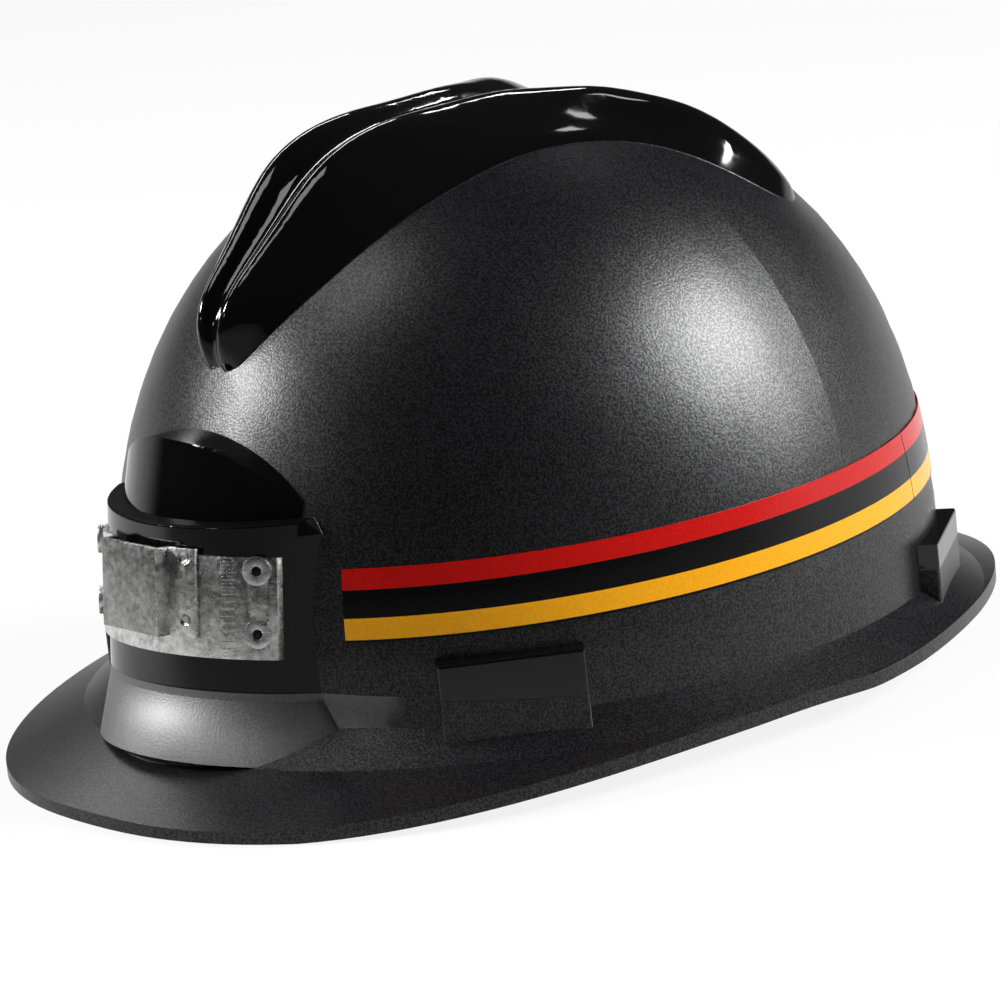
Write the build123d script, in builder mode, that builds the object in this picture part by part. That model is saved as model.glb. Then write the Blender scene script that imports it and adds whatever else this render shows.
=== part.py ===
from build123d import *
from math import atan2, cos, degrees, hypot, pi, radians, sin, sqrt
import os

# Rim outline in plan: widest at rim_centre, reaching to the front and the rear tip
rim_half_width = 106.7
rim_front_reach = 160.1
rim_rear_reach = 129.9
rim_front_roundness_share = 2.37
rim_rear_roundness_share = 1.57
rim_centre = (rim_front_reach - rim_rear_reach) / 2

# Dome: a bell turned on a vertical axis, then stretched to its length and leaned
dome_half_width = 96.7
dome_half_length = 111.3
dome_top = 149.3
dome_base = 18.3
dome_centre = 1.0
dome_roundness_share = 2.516
dome_stretch_share = dome_half_length / dome_half_width
dome_lean_share = 0.016
shell_tilt_share = -0.003
rest_flat_depth = 0.5

# Band at the foot of the dome, then the brim that slopes down to the rim
band_width = 10.3
band_drop = 7.1
brim_slope_share = 0.399
bell_reach = 140.0
shell_wall = 2.5
lip_height = 3.6
lip_width = 3.0
below_rim = 30.0
overrun = 5.0
dome_steps = 16
mould_line_angle = 15.0

# V ridge, cut by planes that fan round a cross axis inside the dome
fan_height = 40.0
fan_centre = 2.0
ridge_depth = 10.0
ridge_size = 52.0
ridge_rise = 12.8
ridge_angles = [32.5, 35, 39, 45, 52, 60, 70, 80, 90, 100, 109, 118, 124, 130]
ridge_foot_shares = [0.10, 0.16, 0.25, 0.365, 0.46, 0.535, 0.605, 0.65, 0.715, 0.80, 0.91, 1.0, 1.0, 0.93]
ridge_crest_shares = [0.05, 0.065, 0.085, 0.105, 0.14, 0.18, 0.19, 0.19, 0.23, 0.43, 0.69, 0.86, 0.91, 0.87]
ridge_rise_shares = [-0.25, 0.35, 0.69, 0.73, 0.80, 1.0, 0.86, 0.52, 0.40, 0.48, 0.59, 0.47, 0.28, -0.25]
ridge_valley_shares = [-0.32, 0.20, 0.47, 0.50, 0.50, 0.65, 0.55, 0.28]
ridge_valley_shares += [0.10, -0.15, -0.25, -0.25, -0.25, -0.32]
ridge_wall = 3.5
hollow_foot_share = 1.15

# Profile of one arm of the ridge: the valley's side, then the outer flank down to its foot
valley_width_shares = [0.45, 0.80]
valley_height_shares = [0.35, 0.87]
flank_width_shares = [0.22, 0.60]
flank_height_shares = [0.90, 0.45]
flank_sink_shares = [1.05, 1.20]
foot_sink_shares = [0.02, 0.12]

# Front boss: an arched block and a rounder pad below it that carries the lamp bracket
boss_half_width = 44.0
boss_top = 87.2
boss_spring = 50.2
boss_low = 46.0
pad_low = 10.0
boss_radius = 46.6
boss_face = -118.0
boss_lean_share = 0.286
boss_wall = 3.0
pad_top = 69.0
pad_radius = 46.6
pad_face = -119.8
pad_lean_share = 0.125
pad_edge = 0.8
pad_middle = 50.0
flare_top = 24.0
flare_low = 6.5
flare_spread = 3.0

# Slot pockets for the suspension keys, two at the front and two at the rear
pocket_width = 35.6
pocket_low = 13.0
pocket_middle = 24.0
pocket_tops = [34.0, 29.6]
pocket_stands = [4.6, 3.8]
pocket_depth = 12.0
pocket_edge = 0.8
pocket_angles = [-39.5, 41.0]
slot_width = 31.0
slot_gap = 2.4
slot_stand = 2.4
slot_top = 27.6

# Lamp bracket: curved base plate and a hat shaped bridge spot welded on it
plate_thickness = 1.2
plate_half_width = 34.6
plate_low = 38.2
plate_top = 63.0
plate_seat = 0.02
bridge_half_width = 11.1
bridge_stand = 4.7
bridge_flange = 7.3
bridge_low = 43.0
bridge_top = 64.6

# Hollow rivets and washers that hold the bracket
rivet_across = 31.2
rivet_high = 58.4
rivet_low = 43.2
rivet_shank = 4.0
rivet_bore = 2.4
rivet_head = 7.0
rivet_head_height = 1.3
rivet_fit = 0.1
washer_diameter = 8.5
washer_thickness = 0.8
washer_gap = 0.25

# Striped tape round the dome: one piece on each side and one behind
tape_low = 41.0
tape_height = 17.6
tape_thickness = 0.3
tape_gap = 0.1
tape_tilt_share = 0.011
tape_front_angle = -64.5
tape_seam_angle = 36.0
tape_seam_gap = 0.4

# Suspension keys pushed up into the pockets
key_width = 29.0
key_gap = 0.3
key_thickness = 1.8
key_low = 12.0
key_foot = 2.4
key_tongue_top = 26.8
key_inner_face = -4.6
key_leg = 2.4
key_top = 41.0
key_window_width = 22.4
key_window_low = 32.0
key_window_height = 3.0
key_peg_height = 27.1
key_peg_hole = 4.2

# Crossed textile straps from key to key over the head
strap_width = 20.0
strap_thickness = 1.2
strap_gap = 0.3
strap_crown = 113.0
strap_spring = 34.0
strap_roundness_share = 2.3
strap_foot_low = 32.9
strap_foot_reach = 4.0
strap_cross_gap = 0.35
patch_size = 32.0
patch_thickness = 1.4

# Headband ring, hung on the keys by four arms
head_centre = 1.0
band_half_width = 77.8
band_half_length = 97.8
band_thickness = 1.6
band_low = 24.0
band_high = 54.0
band_end_angle = 48.0
hanger_width = 9.0
hanger_thickness = 2.2
hanger_overlap = 4.0
peg_diameter = 4.0
peg_length = 3.6

# Brow sweatband inside the front of the headband
sweat_thickness = 2.4
sweat_gap = 0.1
sweat_low = 22.5
sweat_high = 55.5
sweat_angle = 62.0

# Nape arms inside the headband, swinging on pivot buttons at the sides
arm_gap = 1.0
arm_thickness = 1.8
arm_height = 17.0
nape_axis_height = 38.0
nape_axis_back = 10.0
arm_last_angle = 46.0
arm_disc = 15.0
pivot_diameter = 5.0
pivot_fit = 0.05
pivot_head = 10.0
pivot_head_height = 1.4
pivot_cap = 8.4
pivot_cap_height = 1.2
pivot_gap = 0.15
pivot_cap_gap = 0.6

# Racks that run through guide sleeves into the ratchet housing
rack_plane = 89.0
rack_thickness = 1.8
rack_height = 5.6
rack_outer = 45.0
rack_inner = -13.0
rack_fit = 0.25
rack_tip_offset = 3.65
pinion_teeth = 8
pinion_pitch_radius = 4.0
pinion_tip_radius = 4.6
pinion_root_radius = 3.1
tooth_tip = 0.55
tooth_foot = 1.15
tooth_depth = 1.3
tooth_sink = 0.3
sleeve_start = 31.0
sleeve_length = 12.0
sleeve_wall = 1.4
sleeve_height = 22.0

# Housing, cover, knob and click spring
housing_half_width = 27.0
housing_height = 28.0
housing_back = 2.0
housing_chamber = 18.9
housing_corner = 6.0
cover_thickness = 1.6
cover_gap = 0.02
knob_diameter = 31.0
knob_height = 8.6
knob_wall = 2.0
knob_gap = 0.4
knob_grips = 18
knob_grip_radius = 1.5
knob_boss = 9.0
shaft_diameter = 4.4
shaft_fit = 0.08
spring_diameter = 21.0
spring_width = 1.6
spring_height = 1.6
spring_opening = 9.0
nape_pad_width = 50.0
nape_pad_height = 26.0
nape_pad_thickness = 5.0
nape_pad_corner = 8.0
nape_pad_edge = 1.8
nape_pad_gap = 0.1

# Chin strap put away round the outside of the headband, with its hooks and slider
chin_stand = 2.6
chin_thickness = 1.2
chin_low = 30.0
chin_width = 14.0
chin_angle = -9.0
chin_play = 0.25
hook_first_angle = -14.0
hook_last_angle = -3.0
hook_low = 25.5
hook_height = 21.0
hook_wall = 2.0
hook_grip_low = 21.7
hook_grip_top = 29.0
slider_angle = -24.0
slider_span = 5.0
slider_wall = 1.3
slider_play = 0.6
cut_angle = 1.0

# Cap lamp cable clip riveted behind the dome
clip_width = 14.0
clip_thickness = 1.2
clip_low = 19.5
clip_high = 38.5
clip_middle = 29.0
clip_stand = 9.0
clip_lip = 31.0
clip_seat = 0.15
clip_corner = 2.0
clip_rivet_low = 25.0
clip_rivet_high = 34.0
clip_rivet_shank = 3.0
clip_rivet_head = 5.6
clip_rivet_head_height = 0.9

os.makedirs("parts", exist_ok=True)
written = []


def save(piece, name):
    piece.part.label = name
    export_step(piece.part, f"parts/{name}.step")
    written.append(name)


# Shape of the dome, as points and as a test for a point in space
def bell_points(half_width, top):
    angles = [pi / 2 * i / dome_steps for i in range(dome_steps + 1)]
    rise = top - dome_base
    heights = [dome_base + rise * max(cos(a), 0.0) ** (2 / dome_roundness_share) for a in angles]
    return [(half_width * sin(a), height) for a, height in zip(angles, heights)]


def leaned(solid):
    return solid.transform_geometry(Matrix([
        [1, 0, 0, 0],
        [0, dome_stretch_share, dome_lean_share, dome_centre],
        [0, shell_tilt_share * dome_stretch_share, 1 + shell_tilt_share * dome_lean_share,
         shell_tilt_share * (dome_centre - rim_centre) - rest_flat_depth],
    ]))


def inside_dome(x, y, z):
    level = z + rest_flat_depth - shell_tilt_share * (y - rim_centre)
    along = (y - dome_centre - dome_lean_share * level) / dome_stretch_share
    share = min(max((level - dome_base) / (dome_top - dome_base), 0.0), 1.0)
    return hypot(x, along) < dome_half_width * sqrt(1 - share ** dome_roundness_share)


def dome_reach(start, direction):
    near, far = 0.0, dome_half_length * 2
    for _ in range(50):
        middle = (near + far) / 2
        point = [s + d * middle for s, d in zip(start, direction)]
        near, far = (middle, far) if inside_dome(*point) else (near, middle)
    return near


def dome_point(angle, height):
    level = height + rest_flat_depth
    share = max((level - dome_base) / (dome_top - dome_base), 0.0)
    radius = dome_half_width * sqrt(1 - share ** dome_roundness_share)
    x = radius * cos(radians(angle))
    y = radius * dome_stretch_share * sin(radians(angle)) + dome_centre + dome_lean_share * level
    turn = degrees(atan2(sin(radians(angle)) / dome_stretch_share, cos(radians(angle))))
    return x, y, turn


# Plan outline of the rim, drawn in by an inset
def rim_half(reach, roundness, inset, side):
    steps = 12
    angles = [pi * i / (2 * steps) for i in range(2 * steps + 1)]
    points = []
    for a in angles:
        x = (rim_half_width - inset) * abs(cos(a)) ** (2 / roundness) * (1 if cos(a) > 0 else -1)
        y = (reach - inset) * abs(sin(a)) ** (2 / roundness)
        points.append((x, rim_centre + side * y))
    return points


def rim_prism(inset):
    front = rim_half(rim_front_reach, rim_front_roundness_share, inset, -1)
    rear = rim_half(rim_rear_reach, rim_rear_roundness_share, inset, 1)
    with BuildPart() as prism:
        with BuildSketch(Plane.XY.offset(-below_rim)):
            with BuildLine():
                Spline(front, tangents=[(0, -1), (0, 1)])
                Spline(rear, tangents=[(0, 1), (0, -1)])
            make_face()
        extrude(amount=dome_top + 2 * below_rim)
    return prism.part


mould_turn = radians(mould_line_angle)
mould_plane = Plane(origin=(0, 0, 0), x_dir=(cos(mould_turn), sin(mould_turn), 0),
                    z_dir=(sin(mould_turn), -cos(mould_turn), 0))


def bell(half_width, top, rest):
    dome = bell_points(half_width, top)
    with BuildPart() as turned:
        with BuildSketch(mould_plane):
            with BuildLine():
                Spline(dome, tangents=[(1, 0), (0, -1)])
                Polyline(dome[-1], *rest, (rest[-1][0], -below_rim), (0, -below_rim), dome[0])
            make_face()
        revolve(axis=Axis.Z)
    return leaned(turned.part.solid())


def brim_height(radius):
    return dome_base - band_drop - brim_slope_share * (radius - dome_half_width - band_width)


band_foot = dome_half_width + band_width
band_run = hypot(band_width, band_drop)
brim_cosine = 1 / sqrt(1 + brim_slope_share ** 2)
inner_knee = band_foot - shell_wall * (band_width / band_run - brim_slope_share * brim_cosine) / 2
outer_bell = bell(dome_half_width, dome_top, [
    (band_foot, brim_height(band_foot)),
    (bell_reach, brim_height(bell_reach)),
])
inner_bell = bell(dome_half_width - shell_wall, dome_top - shell_wall, [
    (inner_knee, brim_height(inner_knee) - shell_wall / brim_cosine),
    (bell_reach, brim_height(bell_reach) - shell_wall / brim_cosine),
])

with BuildPart() as lip_turned:
    with BuildSketch(mould_plane):
        with BuildLine():
            Polyline(
                (dome_half_width, dome_base - lip_height),
                (band_foot, brim_height(band_foot) - lip_height),
                (bell_reach, brim_height(bell_reach) - lip_height),
                (bell_reach, -below_rim),
                (dome_half_width, -below_rim),
                close=True,
            )
        make_face()
    revolve(axis=Axis.Z)
below_lip = leaned(lip_turned.part.solid())


# Cross sections of the V ridge, from the nose over the crown to the rear
def ridge_section(index, shrink):
    angle = radians(ridge_angles[index])
    foot = ridge_size * ridge_foot_shares[index] - hollow_foot_share * shrink
    crest = ridge_size * ridge_crest_shares[index]
    rise = ridge_rise * ridge_rise_shares[index] - shrink
    valley = ridge_rise * ridge_valley_shares[index] - shrink
    outward = (0, -cos(angle), sin(angle))

    def over(x, height):
        return (x, dome_reach((x, fan_centre, fan_height), outward) + height)

    flank = foot - crest
    flank_heights = flank_height_shares if rise > 0 else flank_sink_shares
    right = [over(crest * out, valley + (rise - valley) * up)
             for out, up in zip(valley_width_shares, valley_height_shares)]
    right.append(over(crest, rise))
    right += [over(crest + flank * out, rise * up) for out, up in zip(flank_width_shares, flank_heights)]
    right.append(over(foot, min(rise, 0.0) - ridge_rise * foot_sink_shares[0]))
    sink = ridge_rise * foot_sink_shares[1]
    right.append(over(foot + sink, min(rise, 0.0) - sink))
    left = [(-x, height) for x, height in reversed(right)]
    low = right[-1][1] - ridge_depth
    outline = left + [over(0, valley)] + right
    frame = Plane(origin=(0, fan_centre, fan_height), x_dir=(1, 0, 0), z_dir=(0, -sin(angle), -cos(angle)))
    with BuildSketch(frame) as section:
        with BuildLine():
            Spline(outline)
            Polyline(outline[-1], (outline[-1][0], low), (outline[0][0], low), outline[0])
        make_face()
    return section.sketch.face()


def ridge(first, last, shrink):
    return Solid.make_loft([ridge_section(i, shrink).outer_wire() for i in range(first, last)])


ridge_block = ridge(0, len(ridge_angles), 0)
ridge_hollow = ridge(1, len(ridge_angles) - 1, ridge_wall)


# Drum whose side is the leaning round face of the boss or of the pad
def face_frame(face, radius, lean):
    axis_y = face + radius * sqrt(1 + lean ** 2)
    return Plane(origin=(0, axis_y, pad_middle), x_dir=(1, 0, 0), z_dir=(0, lean, 1))


def drum(face, radius, lean, inset):
    with BuildPart(face_frame(face, radius, lean)) as round_block:
        Cylinder(radius - inset, dome_top)
    return round_block.part


flare_middle = (flare_top + flare_low) / 2
flare_back = pad_lean_share * (flare_middle - pad_middle)
flare_axis = pad_face + pad_radius * sqrt(1 + pad_lean_share ** 2) + flare_back
flare_frame = Plane(origin=(0, flare_axis, flare_middle), x_dir=(1, 0, 0), z_dir=(0, pad_lean_share, 1))
with BuildPart(flare_frame) as flare:
    Cone(pad_radius + flare_spread, pad_radius - flare_spread / 8, flare_top - flare_low)


def front_block(inset, foot):
    with BuildPart() as lower:
        add(drum(pad_face, pad_radius, pad_lean_share, inset))
        with Locations((0, 0, pad_top - inset)):
            Box(4 * dome_half_width, 4 * dome_half_length, dome_top,
                align=(Align.CENTER, Align.CENTER, Align.MIN), mode=Mode.SUBTRACT)
        fillet(lower.edges().sort_by(Axis.Z)[-1], radius=pad_edge)
        if not inset:
            add(flare.part)
    with BuildPart() as upper:
        add(drum(boss_face, boss_radius, boss_lean_share, inset))
        with Locations((0, 0, boss_low)):
            Box(4 * dome_half_width, 4 * dome_half_length, 2 * dome_top,
                align=(Align.CENTER, Align.CENTER, Align.MAX), mode=Mode.SUBTRACT)
    with BuildPart() as block:
        with BuildSketch(Plane.XZ.offset(-dome_centre)):
            with Locations((0, (foot + boss_spring) / 2)):
                Rectangle(2 * (boss_half_width - inset), boss_spring - foot)
            with Locations((0, boss_spring)):
                Ellipse(boss_half_width - inset, boss_top - inset - boss_spring)
        extrude(amount=dome_half_length * 1.5)
        add((lower.part + upper.part).clean(), mode=Mode.INTERSECT)
    return block


boss = front_block(0, pad_low)
boss_hollow = front_block(boss_wall, -below_rim)

# Pocket frame: x along the dome, y up, z outwards, at the dome's surface
def pocket_frame(angle, side):
    x, y, turn = dome_point(angle, pocket_middle)
    out = (side * cos(radians(turn)), sin(radians(turn)), 0)
    along = (-side * sin(radians(turn)), cos(radians(turn)), 0)
    if side < 0:
        along = (-along[0], -along[1], 0)
    return Plane(origin=(side * x, y, 0), x_dir=along, z_dir=out)


pocket_frames = [pocket_frame(angle, side) for angle in pocket_angles for side in (1, -1)]
pocket_sizes = [size for size in zip(pocket_tops, pocket_stands) for side in (1, -1)]
pockets = []
slots = []
for frame, (top, stand) in zip(pocket_frames, pocket_sizes):
    with BuildPart(frame) as pocket:
        with Locations((0, (pocket_low + top) / 2, stand - pocket_depth / 2)):
            Box(pocket_width, top - pocket_low, pocket_depth)
        fillet(pocket.faces().sort_by(Axis(frame.origin, frame.z_dir))[-1].edges(), radius=pocket_edge)
    pockets.append(pocket.part)
    with BuildPart(frame) as slot:
        with Locations((0, (slot_top - below_rim) / 2, slot_stand - slot_gap / 2)):
            Box(slot_width, slot_top + below_rim, slot_gap)
    slots.append(slot.part)

# Shell: dome, brim, ridge, boss and pockets in one moulding
rim_block = rim_prism(0)
rim_core = rim_prism(lip_width)
with BuildPart() as cavity:
    add(inner_bell)
    add(rim_core, mode=Mode.INTERSECT)
    add(boss_hollow.part)
    add(ridge_hollow)

with BuildPart() as shell:
    add(outer_bell)
    add(rim_block, mode=Mode.INTERSECT)
    add(boss.part)
    add(pockets)
    add(ridge_block)
    add(cavity.part, mode=Mode.SUBTRACT)
    add(below_lip, mode=Mode.SUBTRACT)
    add(slots, mode=Mode.SUBTRACT)
    with Locations((0, 0, -below_rim / 2 - overrun)):
        Box(4 * rim_half_width, 4 * rim_half_width, below_rim + 2 * overrun, mode=Mode.SUBTRACT)

# Lamp bracket: base plate, then the hat shaped bridge welded on it
bracket_frame = face_frame(pad_face, pad_radius, pad_lean_share)
plate_inner = pad_radius + plate_seat
plate_outer = plate_inner + plate_thickness
bridge_inner = plate_outer + plate_seat
bridge_outer = bridge_inner + plate_thickness
bridge_front = pad_radius + bridge_stand
bridge_reach = bridge_half_width + bridge_flange
plate_rise = plate_top - plate_low
bridge_rise = bridge_top - bridge_low


def face_level(height):
    return (height - pad_middle) * sqrt(1 + pad_lean_share ** 2) - plate_outer * pad_lean_share


with BuildPart() as base_plate:
    with BuildSketch(bracket_frame.offset(face_level(plate_low))):
        Circle(plate_outer)
        with Locations((0, -plate_outer)):
            Rectangle(2 * plate_half_width, 2 * plate_outer, mode=Mode.INTERSECT)
        Circle(plate_inner, mode=Mode.SUBTRACT)
    extrude(amount=plate_rise)

with BuildPart() as bridge:
    with BuildSketch(bracket_frame.offset(face_level(bridge_low))):
        Circle(bridge_outer)
        with Locations((0, -bridge_outer)):
            Rectangle(2 * bridge_reach, 2 * bridge_outer, mode=Mode.INTERSECT)
        with Locations((0, -bridge_front / 2)):
            Rectangle(2 * bridge_half_width, bridge_front)
        with Locations((0, -(bridge_front - plate_thickness) / 2)):
            Rectangle(2 * (bridge_half_width - plate_thickness), bridge_front - plate_thickness,
                      mode=Mode.SUBTRACT)
        Circle(bridge_inner, mode=Mode.SUBTRACT)
    extrude(amount=bridge_rise)
save(bridge, "bracket_bridge")


# Hollow rivets, each on a line through the axis of the pad
def rivet_plane(side, height):
    turn = atan2(side * rivet_across, sqrt(plate_outer ** 2 - rivet_across ** 2))
    level = face_level(height) + plate_outer * pad_lean_share * (1 - cos(turn))
    x, y = plate_outer * sin(turn), -plate_outer * cos(turn)
    start = bracket_frame.from_local_coords((x, y, level))
    end = bracket_frame.from_local_coords((2 * x, 2 * y, level))
    return Plane(origin=start, z_dir=end - start)


rivet_planes = [rivet_plane(side, height) for side in (1, -1) for height in (rivet_low, rivet_high)]
washer_face = -(plate_outer - pad_radius + boss_wall + washer_gap)
flare_face = washer_face - washer_thickness - washer_gap / 2
with BuildPart() as rivets:
    with Locations(rivet_planes):
        with Locations((0, 0, plate_seat)):
            Cylinder(rivet_head / 2, rivet_head_height, align=(Align.CENTER, Align.CENTER, Align.MIN))
            Cylinder(rivet_shank / 2, plate_seat - flare_face,
                     align=(Align.CENTER, Align.CENTER, Align.MAX))
        with Locations((0, 0, flare_face)):
            Cylinder(rivet_head / 2, rivet_head_height, align=(Align.CENTER, Align.CENTER, Align.MAX))
        Cylinder(rivet_bore / 2, plate_outer / 2, mode=Mode.SUBTRACT)
save(rivets, "bracket_rivets")

with BuildPart() as washers:
    with Locations(rivet_planes):
        with Locations((0, 0, washer_face)):
            Cylinder(washer_diameter / 2, washer_thickness, align=(Align.CENTER, Align.CENTER, Align.MAX))
        Cylinder(rivet_shank / 2 + rivet_fit, plate_outer / 2, mode=Mode.SUBTRACT)
save(washers, "rivet_washers")

with BuildPart() as rivet_bores:
    with Locations(rivet_planes):
        Cylinder(rivet_shank / 2 + rivet_fit, plate_outer / 2)

with base_plate:
    add(rivet_bores.part, mode=Mode.SUBTRACT)
save(base_plate, "bracket_base_plate")


# Wedge shaped block between two plan angles, used to cut rings to length
def wedge(start, end, centre, reach):
    steps = 8
    angles = [radians(start + (end - start) * i / steps) for i in range(steps + 1)]
    rays = [(reach * cos(a), centre + reach * sin(a)) for a in angles]
    with BuildPart() as block:
        with BuildSketch(Plane.XY.offset(-below_rim)):
            with BuildLine():
                Polyline((0, centre), *rays, close=True)
            make_face()
        extrude(amount=dome_top + below_rim)
    return block.part


# Tapes round the dome
def tape(start, end):
    low, high = tape_low - tape_height, tape_low + 2 * tape_height
    steps = 8
    levels = [low + (high - low) * i / steps for i in range(steps + 1)]
    shares = [(level - dome_base) / (dome_top - dome_base) for level in levels]
    radii = [dome_half_width * sqrt(1 - max(share, 0.0) ** dome_roundness_share) for share in shares]
    skin = [(radius + tape_gap, level) for radius, level in zip(radii, levels)]
    face = [(radius + tape_gap + tape_thickness, level) for radius, level in zip(radii, levels)]
    with BuildPart() as turned:
        with BuildSketch(mould_plane):
            with BuildLine():
                Spline(skin)
                Spline(face)
                Line(skin[0], face[0])
                Line(skin[-1], face[-1])
            make_face()
        revolve(axis=Axis.Z)
    slab_frame = Plane(origin=(0, rim_centre, tape_low - rest_flat_depth), z_dir=(0, -tape_tilt_share, 1))
    with BuildPart(slab_frame) as slab:
        Box(4 * dome_half_length, 4 * dome_half_length, tape_height,
            align=(Align.CENTER, Align.CENTER, Align.MIN))
    sector = wedge(start, end, dome_centre, 2 * dome_half_length)
    with BuildPart() as piece:
        add(leaned(turned.part.solid()))
        add(slab.part, mode=Mode.INTERSECT)
        add(sector, mode=Mode.INTERSECT)
    return piece


seam_turn = degrees(tape_seam_gap / dome_half_width)
tape_left = tape(tape_front_angle, tape_seam_angle)
tape_right = tape(180 - tape_seam_angle, 180 - tape_front_angle)
tape_rear = tape(tape_seam_angle + seam_turn, 180 - tape_seam_angle - seam_turn)
save(tape_left, "tape_left")
save(tape_right, "tape_right")
save(tape_rear, "tape_rear")

# Keys: a tongue in the pocket, a foot under the shell wall and an inner leg
key_names = ["key_front_left", "key_front_right", "key_rear_left", "key_rear_right"]
tongue_out = slot_stand - key_gap
for frame, name in zip(pocket_frames, key_names):
    with BuildPart(frame) as key:
        with Locations((0, (key_low + key_tongue_top) / 2, tongue_out - key_thickness / 2)):
            Box(key_width, key_tongue_top - key_low, key_thickness)
        with Locations((0, key_low + key_foot / 2, (tongue_out + key_inner_face - key_leg) / 2)):
            Box(key_width, key_foot, tongue_out - key_inner_face + key_leg)
        with Locations((0, (key_low + key_top) / 2, key_inner_face - key_leg / 2)):
            Box(key_width, key_top - key_low, key_leg)
        with Locations((0, key_window_low + key_window_height / 2, key_inner_face - key_leg / 2)):
            Box(key_window_width, key_window_height, 2 * key_leg, mode=Mode.SUBTRACT)
        with Locations((0, key_peg_height, key_inner_face - key_leg / 2)):
            Cylinder(key_peg_hole / 2, 2 * key_leg, mode=Mode.SUBTRACT)
    save(key, name)


# Crossed straps: arches in upright planes through opposite keys
def strap(first, second, lift):
    start = pocket_frames[first].origin
    end = pocket_frames[second].origin
    flat = Vector(end.X - start.X, end.Y - start.Y, 0)
    along = flat.normalized()
    span = flat.length / 2
    normal_share = abs(along.dot(pocket_frames[first].z_dir))
    skew = sqrt(1 - normal_share ** 2) / normal_share
    reach = span + (key_inner_face - key_leg) / normal_share - strap_width / 2 * skew - strap_gap
    middle = Vector((start.X + end.X) / 2, (start.Y + end.Y) / 2, 0)
    frame = Plane(origin=middle, x_dir=along, z_dir=along.cross(Vector(0, 0, 1)))
    steps = 10
    angles = [pi / 2 * i / steps for i in range(2 * steps + 1)]
    rise = strap_crown + lift - strap_spring

    def arch(inset):
        points = []
        for a in angles:
            side = 1 if cos(a) >= 0 else -1
            x = side * (reach - inset) * abs(cos(a)) ** (2 / strap_roundness_share)
            points.append((x, strap_spring + (rise - inset) * abs(sin(a)) ** (2 / strap_roundness_share)))
        return points

    outer, inner = arch(0), arch(strap_thickness)
    with BuildPart() as band:
        with BuildSketch(frame):
            with BuildLine():
                Spline(outer, tangents=[(0, 1), (0, -1)])
                Line(outer[-1], inner[-1])
                Spline(inner, tangents=[(0, 1), (0, -1)])
                Line(inner[0], outer[0])
            make_face()
            for side in (1, -1):
                with Locations((side * (reach - strap_thickness / 2), (strap_foot_low + strap_spring) / 2)):
                    Rectangle(strap_thickness, strap_spring - strap_foot_low)
                foot_middle = side * (reach + strap_foot_reach / 2 - strap_thickness)
                with Locations((foot_middle, strap_foot_low + strap_thickness / 2)):
                    Rectangle(strap_foot_reach + strap_thickness, strap_thickness)
        extrude(amount=strap_width / 2, both=True)
    return band


save(strap(0, 3, 0), "crown_strap_front_left")
save(strap(1, 2, strap_thickness + strap_cross_gap), "crown_strap_front_right")
patch_low = strap_crown + strap_thickness + 2 * strap_cross_gap
with BuildPart() as patch:
    with Locations((0, (pocket_frames[0].origin.Y + pocket_frames[2].origin.Y) / 2, patch_low)):
        Box(patch_size, patch_size, patch_thickness, align=(Align.CENTER, Align.CENTER, Align.MIN))
    fillet(patch.edges().filter_by(Axis.Z), radius=patch_size / 6)
save(patch, "crown_patch")


# Elliptical ring between two offsets of the headband's outer face
def ring(low, high, inner, outer, start, end):
    sector = wedge(start, end, head_centre, 2 * band_half_length)
    with BuildPart() as piece:
        with BuildSketch(Plane.XY.offset(low)):
            with Locations((0, head_centre)):
                Ellipse(band_half_width + outer, band_half_length + outer)
                Ellipse(band_half_width + inner, band_half_length + inner, mode=Mode.SUBTRACT)
        extrude(amount=high - low)
        add(sector, mode=Mode.INTERSECT)
    return piece


headband = ring(band_low, band_high, -band_thickness, 0, -180 - band_end_angle, band_end_angle)
leg_face = key_inner_face - key_leg
pegs = []
for frame in pocket_frames:
    centre = Vector(0, head_centre, 0)
    low, high = leg_face - 6 * hanger_overlap, leg_face
    for step in range(40):
        middle = (low + high) / 2
        point = frame.from_local_coords((0, 0, middle))
        inside = (point.X / band_half_width) ** 2 + ((point.Y - head_centre) / band_half_length) ** 2 < 1
        low, high = (middle, high) if inside else (low, middle)
    with BuildPart(frame) as hanger:
        hanger_end = leg_face - strap_gap
        hanger_start = low - band_thickness / 2
        with Locations((0, key_peg_height, (hanger_end + hanger_start) / 2)):
            Box(hanger_width, hanger_thickness, hanger_end - hanger_start)
            Box(peg_diameter, peg_diameter, hanger_end - hanger_start)
        with Locations((0, key_peg_height, hanger_end + peg_length / 2)):
            Cylinder(peg_diameter / 2, peg_length)
    pegs.append(hanger.part)
pivot_frame = Plane(origin=(0, nape_axis_back, nape_axis_height), x_dir=(0, 1, 0), z_dir=(1, 0, 0))
with BuildPart(pivot_frame) as pivot_bore:
    Cylinder(pivot_diameter / 2 + pivot_fit, 4 * band_half_width)
with headband:
    add(pegs)
    add(pivot_bore.part, mode=Mode.SUBTRACT)
save(headband, "headband")

sweat_outer = -band_thickness - sweat_gap
sweat_inner = sweat_outer - sweat_thickness
sweatband = ring(sweat_low, sweat_high, sweat_inner, sweat_outer, -90 - sweat_angle, -90 + sweat_angle)
save(sweatband, "sweatband")


# Nape arms with the guide sleeves for the racks at their ends
arm_offset = -band_thickness - arm_gap - arm_thickness / 2
rack_low = nape_axis_height + rack_tip_offset
pivot_angle = degrees((nape_axis_back - head_centre) / band_half_length)


def arm_point(angle):
    a = radians(angle)
    return ((band_half_width + arm_offset) * cos(a), head_centre + (band_half_length + arm_offset) * sin(a))


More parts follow.
